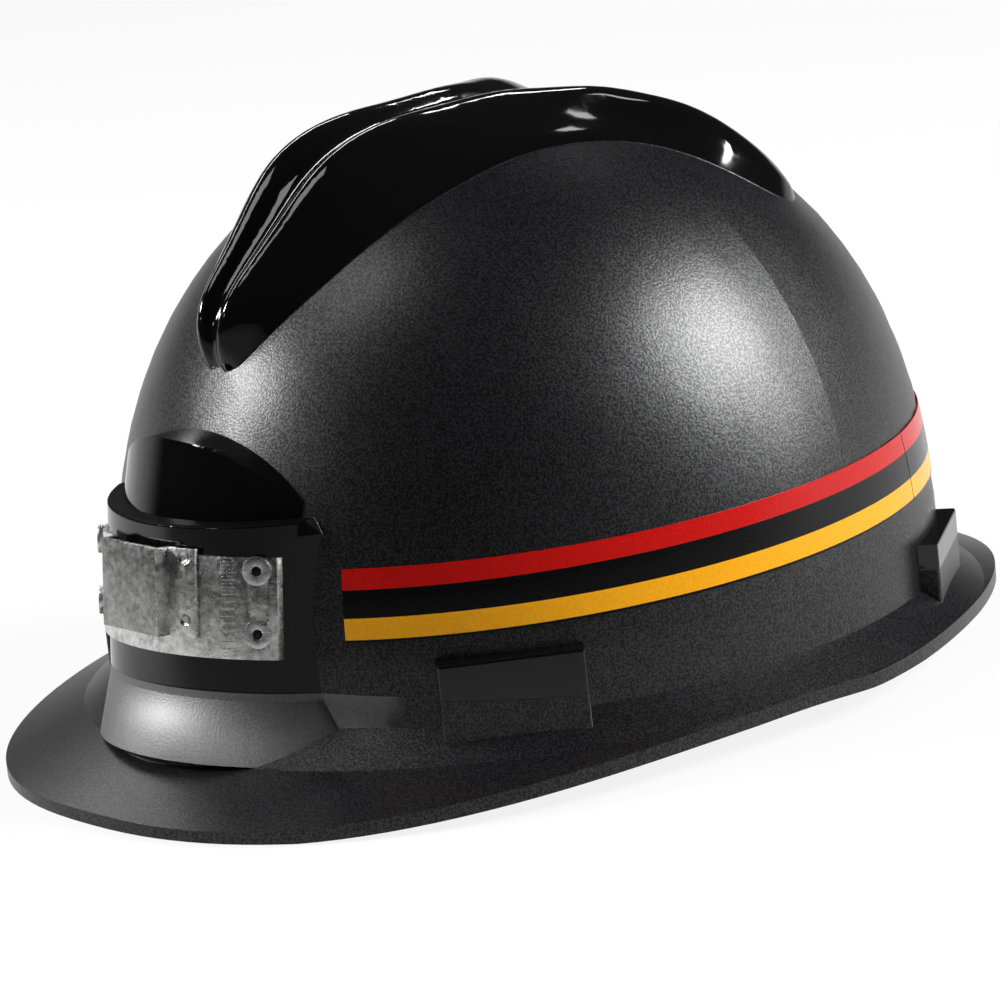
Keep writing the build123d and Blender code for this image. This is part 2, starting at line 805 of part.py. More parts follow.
def nape_arm(side):
    steps = 6
    path = [arm_point(pivot_angle + (arm_last_angle - pivot_angle) * i / steps) for i in range(steps + 1)]
    sleeve_end = sleeve_start + sleeve_length
    path = path + [(sleeve_end, rack_plane - rack_thickness)]
    path = [(side * x, y) for x, y in path]
    middle = (sleeve_start + sleeve_length / 2) * side
    slot_middle = nape_axis_height + side * (rack_tip_offset + rack_height / 2)
    with BuildPart() as arm:
        with BuildSketch(Plane.XY.offset(nape_axis_height)):
            with BuildLine():
                Spline(path, tangents=[(0, 1), (-side, 0.7)])
            trace(line_width=arm_thickness)
        extrude(amount=arm_height / 2, both=True)
        with Locations((middle, rack_plane, nape_axis_height)):
            Box(sleeve_length, rack_thickness + 2 * (rack_fit + sleeve_wall), sleeve_height)
        with Locations(pivot_frame.location):
            with Locations((0, 0, path[0][0])):
                Cylinder(arm_disc / 2, arm_thickness)
        with Locations((middle, rack_plane, slot_middle)):
            Box(2 * sleeve_length, rack_thickness + 2 * rack_fit, rack_height + 2 * rack_fit,
                mode=Mode.SUBTRACT)
        add(pivot_bore.part, mode=Mode.SUBTRACT)
    return arm


save(nape_arm(1), "nape_arm_left")
save(nape_arm(-1), "nape_arm_right")

# Pivot buttons through the headband and the arms
button_out = band_half_width + pivot_gap
arm_inner_face = arm_point(pivot_angle)[0] - arm_thickness / 2
with BuildPart() as buttons:
    for side in (1, -1):
        button_frame = Plane(origin=(0, nape_axis_back, nape_axis_height), z_dir=(side, 0, 0))
        with Locations(button_frame.offset(button_out)):
            Cylinder(pivot_head / 2, pivot_head_height, align=(Align.CENTER, Align.CENTER, Align.MIN))
            Cylinder(pivot_diameter / 2, button_out - arm_inner_face + pivot_cap_gap,
                     align=(Align.CENTER, Align.CENTER, Align.MAX))
        with Locations(button_frame.offset(arm_inner_face - pivot_cap_gap)):
            Cylinder(pivot_cap / 2, pivot_cap_height, align=(Align.CENTER, Align.CENTER, Align.MAX))
save(buttons, "pivot_buttons")


# Racks, the left one above the pinion and the right one below it
rack_pitch = 2 * pi * pinion_pitch_radius / pinion_teeth


def rack(side):
    foot_line = nape_axis_height + side * (rack_tip_offset + tooth_depth)
    tip_line = nape_axis_height + side * rack_tip_offset
    back_line = nape_axis_height + side * (rack_tip_offset + rack_height)
    with BuildPart() as bar:
        with Locations((side * (rack_outer + rack_inner) / 2, rack_plane, (foot_line + back_line) / 2)):
            Box(rack_outer - rack_inner, rack_thickness, abs(back_line - foot_line))
        with BuildSketch(Plane.XZ.offset(-rack_plane)):
            for i in range(-pinion_teeth // 2, pinion_teeth // 2):
                middle = (i + 0.5) * rack_pitch
                with BuildLine():
                    Polyline(
                        (middle - tooth_foot / 2, foot_line),
                        (middle - tooth_tip / 2, tip_line),
                        (middle + tooth_tip / 2, tip_line),
                        (middle + tooth_foot / 2, foot_line),
                        close=True,
                    )
                make_face()
        extrude(amount=rack_thickness / 2, both=True)
    return bar


save(rack(1), "rack_left")
save(rack(-1), "rack_right")

# Ratchet housing with its chamber for the racks, closed by the cover
chamber = rack_thickness + 2 * rack_fit
housing_front = rack_plane - chamber / 2 - housing_back
housing_depth = housing_back + chamber
with BuildPart() as housing:
    with BuildSketch(Plane.XZ.offset(-housing_front)):
        with Locations((0, nape_axis_height)):
            RectangleRounded(2 * housing_half_width, housing_height, housing_corner)
    extrude(amount=-housing_depth)
    with Locations((0, housing_front + housing_back, nape_axis_height)):
        Box(3 * housing_half_width, 2 * chamber, housing_chamber + 2 * rack_fit,
            align=(Align.CENTER, Align.MIN, Align.CENTER), mode=Mode.SUBTRACT)
save(housing, "ratchet_housing")

cover_face = housing_front + housing_depth + cover_gap
knob_axis = Plane(origin=(0, cover_face, nape_axis_height), x_dir=(1, 0, 0), z_dir=(0, 1, 0))
with BuildPart() as cover:
    with BuildSketch(knob_axis):
        RectangleRounded(2 * housing_half_width, housing_height, housing_corner)
        Circle(shaft_diameter / 2 + shaft_fit, mode=Mode.SUBTRACT)
    extrude(amount=cover_thickness)
save(cover, "ratchet_cover")

# Pinion with its shaft, pressed into the knob
knob_start = cover_thickness + knob_gap
with BuildPart() as pinion:
    with BuildSketch(knob_axis.offset(-cover_gap - rack_fit)):
        Circle(pinion_root_radius)
        for i in range(pinion_teeth):
            with BuildLine(Rot(0, 0, 360 * i / pinion_teeth)):
                Polyline(
                    (pinion_root_radius - tooth_sink, -tooth_foot / 2),
                    (pinion_tip_radius, -tooth_tip / 2),
                    (pinion_tip_radius, tooth_tip / 2),
                    (pinion_root_radius - tooth_sink, tooth_foot / 2),
                    close=True,
                )
            make_face()
    extrude(amount=-rack_thickness)
    with Locations(knob_axis.offset(knob_start + knob_height - knob_wall)):
        Cylinder(shaft_diameter / 2, knob_start + knob_height - knob_wall + rack_fit + rack_thickness,
                 align=(Align.CENTER, Align.CENTER, Align.MAX))
save(pinion, "pinion")

with BuildPart() as knob:
    with Locations(knob_axis.offset(knob_start)):
        Cylinder(knob_diameter / 2, knob_height, align=(Align.CENTER, Align.CENTER, Align.MIN))
        with PolarLocations(knob_diameter / 2 + knob_grip_radius / 2, knob_grips):
            Cylinder(knob_grip_radius, 3 * knob_height, mode=Mode.SUBTRACT)
    fillet(knob.faces().sort_by(Axis.Y)[-1].edges(), radius=knob_wall / 4)
    with Locations(knob_axis.offset(knob_start)):
        Cylinder(knob_diameter / 2 - 2 * knob_wall, knob_height - knob_wall,
                 align=(Align.CENTER, Align.CENTER, Align.MIN), mode=Mode.SUBTRACT)
        Cylinder(knob_boss / 2, knob_height - knob_wall / 2, align=(Align.CENTER, Align.CENTER, Align.MIN))
        Cylinder(shaft_diameter / 2, knob_height - knob_wall, align=(Align.CENTER, Align.CENTER, Align.MIN),
                 mode=Mode.SUBTRACT)
save(knob, "ratchet_knob")

# Open click spring lying on the cover inside the knob
with BuildPart() as spring:
    with BuildSketch(knob_axis.offset(cover_thickness + cover_gap)):
        Circle(spring_diameter / 2)
        Circle(spring_diameter / 2 - spring_width, mode=Mode.SUBTRACT)
        with Locations((spring_diameter / 2, 0)):
            Rectangle(spring_diameter / 2, spring_opening, mode=Mode.SUBTRACT)
    extrude(amount=spring_height)
save(spring, "click_spring")

# Nape pad on the head side of the housing
with BuildPart() as nape_pad:
    with BuildSketch(Plane.XZ.offset(-housing_front + nape_pad_gap)):
        with Locations((0, nape_axis_height)):
            RectangleRounded(nape_pad_width, nape_pad_height, nape_pad_corner)
    extrude(amount=nape_pad_thickness)
    fillet(nape_pad.faces().sort_by(Axis.Y)[0].edges(), radius=nape_pad_edge)
save(nape_pad, "nape_pad")

# Chin strap, its slider and its two hooks
chin_outer = chin_stand + chin_thickness
chin_high = chin_low + chin_width
save(ring(chin_low, chin_high, chin_stand, chin_outer, -180 - chin_angle, chin_angle), "chin_strap")


# Block round the strap's section, larger than it by a margin
def chin_loop(start, end, margin):
    return ring(chin_low - margin, chin_high + margin, chin_stand - margin, chin_outer + margin, start, end)


slider_start = slider_angle - slider_span
slider_end = slider_angle + slider_span
slider = chin_loop(slider_start, slider_end, slider_play + slider_wall)
with slider:
    add(chin_loop(slider_start - cut_angle, slider_end + cut_angle, slider_play).part, mode=Mode.SUBTRACT)
save(slider, "chin_slider")

hook_out = sweat_gap + hook_wall
grip_face = -band_thickness - chin_play
hook_parts = []
hook_outer = chin_outer + chin_play + slider_wall
hook_high = hook_low + hook_height
bar_low = chin_low - chin_play - slider_wall
bar_high = chin_high + chin_play + slider_wall
for start, end in ((hook_first_angle, hook_last_angle), (-180 - hook_last_angle, -180 - hook_first_angle)):
    cut_start, cut_end = start - cut_angle, end + cut_angle
    plate = ring(hook_low, hook_high, sweat_gap, hook_outer, start, end)
    lip = ring(hook_grip_low, band_low - chin_play, grip_face - slider_wall, hook_out, start, end)
    post = ring(hook_grip_low, hook_low + hook_wall, sweat_gap, hook_out, start, end)
    grip = ring(hook_grip_low, hook_grip_top, grip_face - slider_wall, grip_face, start, end)
    room = chin_loop(cut_start, cut_end, chin_play)
    below = ring(hook_low - slider_wall, bar_low, hook_out, hook_outer + hook_wall, cut_start, cut_end)
    above = ring(bar_high, hook_high + slider_wall, hook_out, hook_outer + hook_wall, cut_start, cut_end)
    with plate:
        add(lip.part)
        add(post.part)
        add(grip.part)
        add(room.part, mode=Mode.SUBTRACT)
        add(below.part, mode=Mode.SUBTRACT)
        add(above.part, mode=Mode.SUBTRACT)
    hook_parts.append(plate.part)
with BuildPart() as hooks:
    add(hook_parts)
save(hooks, "chin_hooks")

# Cable clip behind the dome
clip_face = max(dome_point(90, height)[1] for height in (clip_low, clip_middle, clip_high)) + clip_seat
clip_line = clip_face + clip_thickness / 2
clip_path = [
    (clip_line, clip_high),
    (clip_line, clip_low + clip_thickness / 2),
    (clip_line + clip_stand, clip_low + clip_thickness / 2),
    (clip_line + clip_stand, clip_lip),
]
clip_heights = (clip_rivet_low, clip_rivet_high)
clip_frames = [Plane((0, clip_face, height), x_dir=(1, 0, 0), z_dir=(0, 1, 0)) for height in clip_heights]
with BuildPart() as clip:
    with BuildSketch(Plane.YZ):
        with BuildLine():
            FilletPolyline(*clip_path, radius=clip_corner)
        trace(line_width=clip_thickness)
    extrude(amount=clip_width / 2, both=True)
    with Locations(clip_frames):
        Cylinder(clip_rivet_shank / 2 + rivet_fit, 4 * clip_thickness, mode=Mode.SUBTRACT)
save(clip, "cable_clip")

clip_inside = -(shell_wall * dome_stretch_share + washer_gap * 2)
with BuildPart() as clip_rivets:
    with Locations(clip_frames):
        with Locations((0, 0, clip_thickness + plate_seat)):
            Cylinder(clip_rivet_head / 2, clip_rivet_head_height,
                     align=(Align.CENTER, Align.CENTER, Align.MIN))
        with Locations((0, 0, clip_inside)):
            Cylinder(clip_rivet_head / 2, clip_rivet_head_height,
                     align=(Align.CENTER, Align.CENTER, Align.MAX))
            Cylinder(clip_rivet_shank / 2, clip_thickness + plate_seat - clip_inside,
                     align=(Align.CENTER, Align.CENTER, Align.MIN))
save(clip_rivets, "cable_clip_rivets")
with BuildPart() as clip_bores:
    with Locations(clip_frames):
        Cylinder(clip_rivet_shank / 2 + rivet_fit, 8 * clip_thickness)

with shell:
    add(rivet_bores.part, mode=Mode.SUBTRACT)
    add(clip_bores.part, mode=Mode.SUBTRACT)
save(shell, "shell")
print(len(written), "parts written")
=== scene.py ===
from math import cos, pi, radians, sin

import bpy
from mathutils import Matrix, Vector


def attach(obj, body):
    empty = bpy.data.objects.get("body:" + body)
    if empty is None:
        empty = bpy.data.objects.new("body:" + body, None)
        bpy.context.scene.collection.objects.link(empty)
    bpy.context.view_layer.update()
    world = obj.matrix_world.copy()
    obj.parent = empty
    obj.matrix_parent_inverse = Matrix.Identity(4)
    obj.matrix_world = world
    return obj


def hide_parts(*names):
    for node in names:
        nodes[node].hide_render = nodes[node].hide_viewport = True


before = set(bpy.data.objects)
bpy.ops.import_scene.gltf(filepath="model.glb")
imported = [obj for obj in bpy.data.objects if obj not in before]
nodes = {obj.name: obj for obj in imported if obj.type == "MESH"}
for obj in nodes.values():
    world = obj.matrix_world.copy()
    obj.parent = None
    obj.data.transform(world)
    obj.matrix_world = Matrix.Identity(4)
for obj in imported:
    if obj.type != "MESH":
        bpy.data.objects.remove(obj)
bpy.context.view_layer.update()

# Camera
# It stands to the left of the helmet's front, a little above the brim, and leans
# slightly to one side as the photograph does. The long lens keeps the shape true.
camera_turn = radians(51.017)
camera_rise = radians(13.807)
camera_roll = radians(-6.227)
camera_distance = 1.31285
sensor_width = 36
lens_length = 183.42
nearest_seen, farthest_seen = 0.05, 50
camera_target = Vector((-0.006426, -0.001369, 0.045299))
forward = Vector((
    -sin(camera_turn) * cos(camera_rise),
    cos(camera_turn) * cos(camera_rise),
    -sin(camera_rise),
))
level_right = Vector((cos(camera_turn), sin(camera_turn), 0))
level_up = level_right.cross(forward)
right = level_right * cos(camera_roll) + level_up * sin(camera_roll)
up = level_up * cos(camera_roll) - level_right * sin(camera_roll)
bpy.ops.object.select_all(action="DESELECT")
bpy.ops.object.camera_add()
camera = bpy.context.object
camera.data.sensor_width = sensor_width
camera.data.lens = lens_length
camera.data.clip_start = nearest_seen
camera.data.clip_end = farthest_seen
camera.matrix_world = Matrix.Translation(camera_target - forward * camera_distance) @ Matrix((
    (right.x, up.x, -forward.x, 0),
    (right.y, up.y, -forward.y, 0),
    (right.z, up.z, -forward.z, 0),
    (0, 0, 0, 1),
))
bpy.context.scene.camera = camera
bpy.context.scene.view_settings.view_transform = "Standard"

# Studio floor and surroundings
# A plain white table that runs into a white backdrop behind the helmet. The side
# where the camera stands is dark, so the black gloss shows white only at its edges.
table_size = 24
table_drop = 0.0003
table_grey = (0.8, 0.8, 0.8)
table_glow_share = 0.86
table_fade = 0.30
table_near_glow, table_far_glow = 0.10, 0.9
bpy.ops.mesh.primitive_plane_add(size=table_size, location=(0, 0, -table_drop))
floor = bpy.context.object
floor.name = "studio_floor"


def new_material(name):
    material = bpy.data.materials.new(name)
    material.use_nodes = True
    tree = material.node_tree
    tree.nodes.clear()
    output = tree.nodes.new("ShaderNodeOutputMaterial")
    return material, tree, output


def dress(piece, material):
    piece.data.materials.clear()
    piece.data.materials.append(material)


def maths(tree, operation, *values, clamp=False):
    node = tree.nodes.new("ShaderNodeMath")
    node.operation = operation
    node.use_clamp = clamp
    for socket, value in zip(node.inputs, values):
        if hasattr(value, "links"):
            tree.links.new(value, socket)
        else:
            socket.default_value = value
    return node.outputs[0]


def ramp(tree, value, low, high, to_low=0.0, to_high=1.0):
    node = tree.nodes.new("ShaderNodeMapRange")
    node.interpolation_type = "SMOOTHSTEP"
    for socket, number in zip(("From Min", "From Max", "To Min", "To Max"), (low, high, to_low, to_high)):
        node.inputs[socket].default_value = number
    tree.links.new(value, node.inputs["Value"])
    return node.outputs[0]


def seen_rays(tree):
    path = tree.nodes.new("ShaderNodeLightPath")
    return maths(tree, "MAXIMUM", path.outputs["Is Camera Ray"],
                 maths(tree, "MAXIMUM", path.outputs["Is Glossy Ray"], path.outputs["Is Transmission Ray"]))


material, tree, output = new_material("studio_floor")
paint = tree.nodes.new("ShaderNodeBsdfDiffuse")
paint.inputs["Color"].default_value = (*table_grey, 1)
glow = tree.nodes.new("ShaderNodeEmission")
spot = tree.nodes.new("ShaderNodeNewGeometry")
nearness = tree.nodes.new("ShaderNodeVectorMath")
nearness.operation = "DOT_PRODUCT"
nearness.inputs[1].default_value = (-forward.x, -forward.y, 0)
tree.links.new(spot.outputs["Position"], nearness.inputs[0])
table_edge = ramp(tree, nearness.outputs["Value"], 0.0, table_fade, table_far_glow, table_near_glow)
camera_ray = tree.nodes.new("ShaderNodeLightPath")
tree.links.new(maths(tree, "MAXIMUM", table_edge, camera_ray.outputs["Is Camera Ray"]), glow.inputs["Strength"])
blend = tree.nodes.new("ShaderNodeMixShader")
tree.links.new(maths(tree, "MULTIPLY", seen_rays(tree), table_glow_share), blend.inputs["Fac"])
tree.links.new(paint.outputs[0], blend.inputs[1])
tree.links.new(glow.outputs[0], blend.inputs[2])
tree.links.new(blend.outputs[0], output.inputs["Surface"])
dress(floor, material)

backdrop_sides = (0.25, 0.6)
backdrop_heights = (0.05, 0.20)
backdrop_glow = 0.85
backdrop_above = 0.02
room_glow = 0.01
room_fill = 0.05
world = bpy.data.worlds.new("studio")
bpy.context.scene.world = world
world.use_nodes = True
tree = world.node_tree
tree.nodes.clear()
output = tree.nodes.new("ShaderNodeOutputWorld")
backdrop = tree.nodes.new("ShaderNodeBackground")
path = tree.nodes.new("ShaderNodeLightPath")
where = tree.nodes.new("ShaderNodeTexCoord")
facing = tree.nodes.new("ShaderNodeVectorMath")
facing.operation = "DOT_PRODUCT"
facing.inputs[1].default_value = (forward.x, forward.y, 0)
tree.links.new(where.outputs["Generated"], facing.inputs[0])
height = tree.nodes.new("ShaderNodeSeparateXYZ")
tree.links.new(where.outputs["Generated"], height.inputs[0])
panel = maths(tree, "MULTIPLY", ramp(tree, facing.outputs["Value"], *backdrop_sides),
              ramp(tree, height.outputs[2], *backdrop_heights, 1.0, backdrop_above))
room = maths(tree, "MULTIPLY_ADD", panel, backdrop_glow, room_glow)
fill = maths(tree, "MULTIPLY_ADD", path.outputs["Is Diffuse Ray"], room_fill, room)
level = maths(tree, "MAXIMUM", fill, path.outputs["Is Camera Ray"])
tree.links.new(level, backdrop.inputs["Strength"])
tree.links.new(backdrop.outputs[0], output.inputs["Surface"])

# Lamps
# Soft boxes: two behind on the right for the dome's glow, one high in front, one for the
# foot of the pad, a strip along the ridge, and small ones for nose, ridge and boss. Each
# row has turn and rise in degrees, distance and sides in metres, and watts.
lamp_aim = Vector((0, 0, 0.06))
lamps = [
    ("glow_box", 132, 29, 1.5, 0.62, 0.56, 35.0),
    ("front_box", -30, 64, 1.5, 0.5, 0.5, 3.2),
    ("foot_box", -42, 31, 1.6, 0.50, 0.16, 22.0),
    ("low_box", 138, 11, 1.5, 0.34, 0.20, 4.5),
    ("nose_box", -4, 25, 1.6, 0.18, 0.12, 0.4),
    ("top_box", -164, 54, 1.5, 0.08, 0.07, 0.10),
    ("arch_box", -139, 37, 1.5, 0.12, 0.10, 0.5),
    ("left_strip", -98, 36, 1.6, 1.5, 0.12, 6.0),
]
for name, turn, rise, distance, width, height, power in lamps:
    turn, rise = radians(turn), radians(rise)
    away = Vector((sin(turn) * cos(rise), -cos(turn) * cos(rise), sin(rise)))
    bpy.ops.object.light_add(type="AREA", location=away * distance + lamp_aim)
    lamp = bpy.context.object
    lamp.name = name
    lamp.data.shape = "RECTANGLE"
    lamp.data.size = width
    lamp.data.size_y = height
    lamp.data.energy = power
    lamp.rotation_euler = away.to_track_quat("Z", "Y").to_euler()

# Shell
# One injection moulding in black ABS: a frosted dome and brim, with the V ridge, the
# lamp boss and the key pockets left glossy. It carries everything else.
rest_flat = 0.0005
shell_tilt = -0.003
rim_centre = 0.0151
dome_half_width = 0.0967
dome_stretch = 111.3 / 96.7
dome_lean = 0.016
dome_centre = 0.001
dome_base = 0.0183
dome_top = 0.1493
dome_roundness = 2.516
proud_start, proud_end = 0.0022, 0.0045
gloss_low = 0.0225
flare_axis = -0.0772
flare_lean = 0.125
flare_top = 0.0241
foot_hollow = 24.0
front_end = -0.092
rim_face = 0.0075
facet_side, facet_low = 0.0366, 0.0650
ledge_low, ledge_high = 0.0640, 0.0706
soft_edge = 0.0006
grain_size = 0.00055
grain_dark, grain_light = (0.0022, 0.0021, 0.0026), (0.0084, 0.0081, 0.0096)
gloss_black = (0.0028, 0.0028, 0.003)
pale_patch_grey = (0.045, 0.044, 0.043)


def noise(tree, coordinates, size, detail=2.0, roughness=0.5):
    node = tree.nodes.new("ShaderNodeTexNoise")
    node.inputs["Scale"].default_value = 1 / size
    node.inputs["Detail"].default_value = detail
    node.inputs["Roughness"].default_value = roughness
    tree.links.new(coordinates, node.inputs["Vector"])
    return node.outputs["Fac"]


def mixed(tree, share, first, second):
    node = tree.nodes.new("ShaderNodeMix")
    node.data_type = "RGBA"
    tree.links.new(share, node.inputs["Factor"])
    for socket, colour in ((node.inputs[6], first), (node.inputs[7], second)):
        if hasattr(colour, "links"):
            tree.links.new(colour, socket)
        else:
            socket.default_value = (*colour, 1)
    return node.outputs[2]


def product(tree, *values):
    result = values[0]
    for value in values[1:]:
        result = maths(tree, "MULTIPLY", result, value)
    return result


def between(tree, value, rise_start, rise_end, fall_start, fall_end):
    rise = ramp(tree, value, rise_start, rise_end)
    return product(tree, rise, ramp(tree, value, fall_start, fall_end, 1.0, 0.0))


def bumped(tree, height, depth, below=None):
    node = tree.nodes.new("ShaderNodeBump")
    node.inputs["Distance"].default_value = depth
    node.inputs["Strength"].default_value = 1.0
    tree.links.new(height, node.inputs["Height"])
    if below:
        tree.links.new(below, node.inputs["Normal"])
    return node.outputs["Normal"]


def object_place(tree):
    return tree.nodes.new("ShaderNodeTexCoord").outputs["Object"]


def parts_of(tree, coordinates):
    split = tree.nodes.new("ShaderNodeSeparateXYZ")
    tree.links.new(coordinates, split.inputs[0])
    return split.outputs


def shader(tree, output):
    node = tree.nodes.new("ShaderNodeBsdfPrincipled")
    tree.links.new(node.outputs[0], output.inputs["Surface"])
    return node


def voronoi(tree, coordinates, size):
    node = tree.nodes.new("ShaderNodeTexVoronoi")
    node.inputs["Scale"].default_value = 1 / size
    tree.links.new(coordinates, node.inputs["Vector"])
    return node.outputs


def squares(tree, first, second):
    return maths(tree, "ADD", product(tree, first, first), product(tree, second, second))


def proud_of_dome(tree, x, y, z):
    level = maths(tree, "ADD", z, maths(tree, "MULTIPLY_ADD", y, -shell_tilt, rest_flat + shell_tilt * rim_centre))
    lean = maths(tree, "MULTIPLY_ADD", level, -dome_lean, -dome_centre)
    along = maths(tree, "DIVIDE", maths(tree, "ADD", y, lean), dome_stretch)
    share = maths(tree, "DIVIDE", maths(tree, "SUBTRACT", level, dome_base), dome_top - dome_base, clamp=True)
    reach = maths(tree, "DIVIDE", squares(tree, x, along), dome_half_width ** 2)
    return maths(tree, "SUBTRACT", maths(tree, "ADD", reach, maths(tree, "POWER", share, dome_roundness)), 1.0)


material, tree, output = new_material("shell_abs")
skin = shader(tree, output)
place = object_place(tree)
x, y, z = parts_of(tree, place)
faced = tree.nodes.new("ShaderNodeNewGeometry")
facing_up = parts_of(tree, faced.outputs["True Normal"])[2]

# The glossy zones stand proud of the dome and end above the flare of the pad's foot
proud = ramp(tree, proud_of_dome(tree, x, y, z), proud_start, proud_end)
over_flare = maths(tree, "MULTIPLY_ADD", maths(tree, "SUBTRACT", y, flare_axis), flare_lean, z)
gloss = product(tree, proud, ramp(tree, z, gloss_low, gloss_low + 0.001),
                ramp(tree, over_flare, flare_top - 0.0001, flare_top + 0.0003))
frosted = maths(tree, "SUBTRACT", 1.0, gloss)
in_front = product(tree, ramp(tree, y, front_end, front_end + 0.004, 1.0, 0.0),
                   ramp(tree, z, rim_face, rim_face + 0.001))

# The foot below the pad is hollow and catches more light than the rest
foot = product(tree, ramp(tree, facing_up, 0.35, 0.6, 1.0, 0.0), in_front,
               ramp(tree, over_flare, flare_top - 0.0002, flare_top, 1.0, 0.0))
down = maths(tree, "MAXIMUM", maths(tree, "SUBTRACT", flare_top, over_flare), 0.0)
hollow = product(tree, down, down, foot_hollow, foot)

# The pad's top ledge and the facets beside the boss stay dull
facet = product(tree, ramp(tree, maths(tree, "ABSOLUTE", x), facet_side, facet_side + soft_edge),
                between(tree, z, facet_low, facet_low + soft_edge, ledge_high, ledge_high + soft_edge))
ledge = product(tree, ramp(tree, facing_up, 0.3, 0.5),
                between(tree, z, ledge_low, ledge_low + soft_edge, ledge_high, ledge_high + soft_edge))
dull = product(tree, maths(tree, "MAXIMUM", facet, ledge), gloss, in_front)

grain = noise(tree, place, grain_size, 1.0, 0.5)
cloud = noise(tree, place, 0.035, 3.0, 0.55)
spark = ramp(tree, grain, 0.38, 0.64)
# Pale grey patches from a noise are mixed into the frosted tint, at most a quarter of it.
pale_patches = ramp(tree, noise(tree, place, 0.006, 6.0, 0.72), 0.66, 0.78)
tint = mixed(tree, gloss, mixed(tree, spark, grain_dark, grain_light), gloss_black)
tint = mixed(tree, product(tree, pale_patches, frosted, 0.25), tint, pale_patch_grey)
tree.links.new(tint, skin.inputs["Base Color"])
matte = maths(tree, "MULTIPLY_ADD", grain, 0.10, maths(tree, "MULTIPLY_ADD", cloud, 0.08, 0.26))
matte = maths(tree, "MULTIPLY_ADD", foot, 0.16, matte)
polish = maths(tree, "MULTIPLY_ADD", dull, 0.40, maths(tree, "MULTIPLY_ADD", cloud, 0.03, 0.045))
roughness = tree.nodes.new("ShaderNodeMix")
for value, socket in ((gloss, "Factor"), (matte, 2), (polish, 3)):
    tree.links.new(value, roughness.inputs[socket])
tree.links.new(roughness.outputs[0], skin.inputs["Roughness"])
sparkle = product(tree, maths(tree, "SUBTRACT", spark, 0.5), frosted)
shine = maths(tree, "MULTIPLY_ADD", foot, 1.7, maths(tree, "MULTIPLY_ADD", sparkle, 0.34, 0.5))
tree.links.new(maths(tree, "MULTIPLY_ADD", dull, -0.48, shine), skin.inputs["Specular IOR Level"])
fine = bumped(tree, product(tree, grain, frosted), 0.00005)
fine = bumped(tree, hollow, 1.0, fine)
tree.links.new(bumped(tree, noise(tree, place, 0.02, 2.0), 0.00012, fine), skin.inputs["Normal"])
skin.inputs["IOR"].default_value = 1.5
dress(nodes["shell"], material)

# Lamp bracket
# Two pressings in galvanised sheet: a curved base plate and a hat shaped bridge, spot
# welded to it and held on the boss by four hollow rivets with washers inside.
weld_across = 0.0158
weld_heights = (0.0470, 0.0620)
weld_inner, weld_outer = 0.0006, 0.0017
weld_depth = 0.00055
tick_start, tick_end, tick_pitch = 0.0238, 0.0266, 0.00175
tick_depth = 0.00004
face_end = 0.0112
spangle_size = 1 / 650
plate_steel = (0.30, 0.305, 0.30), (0.84, 0.84, 0.83)
flange_steel = (0.36, 0.365, 0.36), (0.94, 0.94, 0.93)
# The bridge's face gets darker greys than its flanges: a painted dark reflection of the dark surroundings its
# walls mirror.
face_steel_painted_dark = (0.12, 0.122, 0.12), (0.42, 0.42, 0.415)
plated_steel = (0.60, 0.61, 0.61), (0.92, 0.92, 0.91)
pressed_edges = {"bracket_base_plate": 0.00018, "bracket_bridge": 0.00022, "bracket_rivets": 0.00016}
weld_apart = 0.00001
smooth_angle = radians(35)


def rounded_copy(name):
    piece = nodes[name].copy()
    piece.data = nodes[name].data.copy()
    piece.name = f"{name}_pressed"
    bpy.context.scene.collection.objects.link(piece)
    bpy.ops.object.select_all(action="DESELECT")
    piece.select_set(True)
    bpy.context.view_layer.objects.active = piece
    bpy.ops.mesh.customdata_custom_splitnormals_clear()
    bpy.ops.object.mode_set(mode="EDIT")
    bpy.ops.mesh.select_all(action="SELECT")
    bpy.ops.mesh.remove_doubles(threshold=weld_apart)
    bpy.ops.mesh.tris_convert_to_quads()
    bpy.ops.object.mode_set(mode="OBJECT")
    rounding = piece.modifiers.new("edges", "BEVEL")
    rounding.width = pressed_edges[name]
    rounding.segments = 2
    rounding.limit_method = "ANGLE"
    rounding.angle_limit = smooth_angle
    bpy.ops.object.modifier_apply(modifier="edges")
    bpy.ops.object.shade_smooth_by_angle(angle=smooth_angle)
    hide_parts(name)
    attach(piece, "helmet")
    return piece


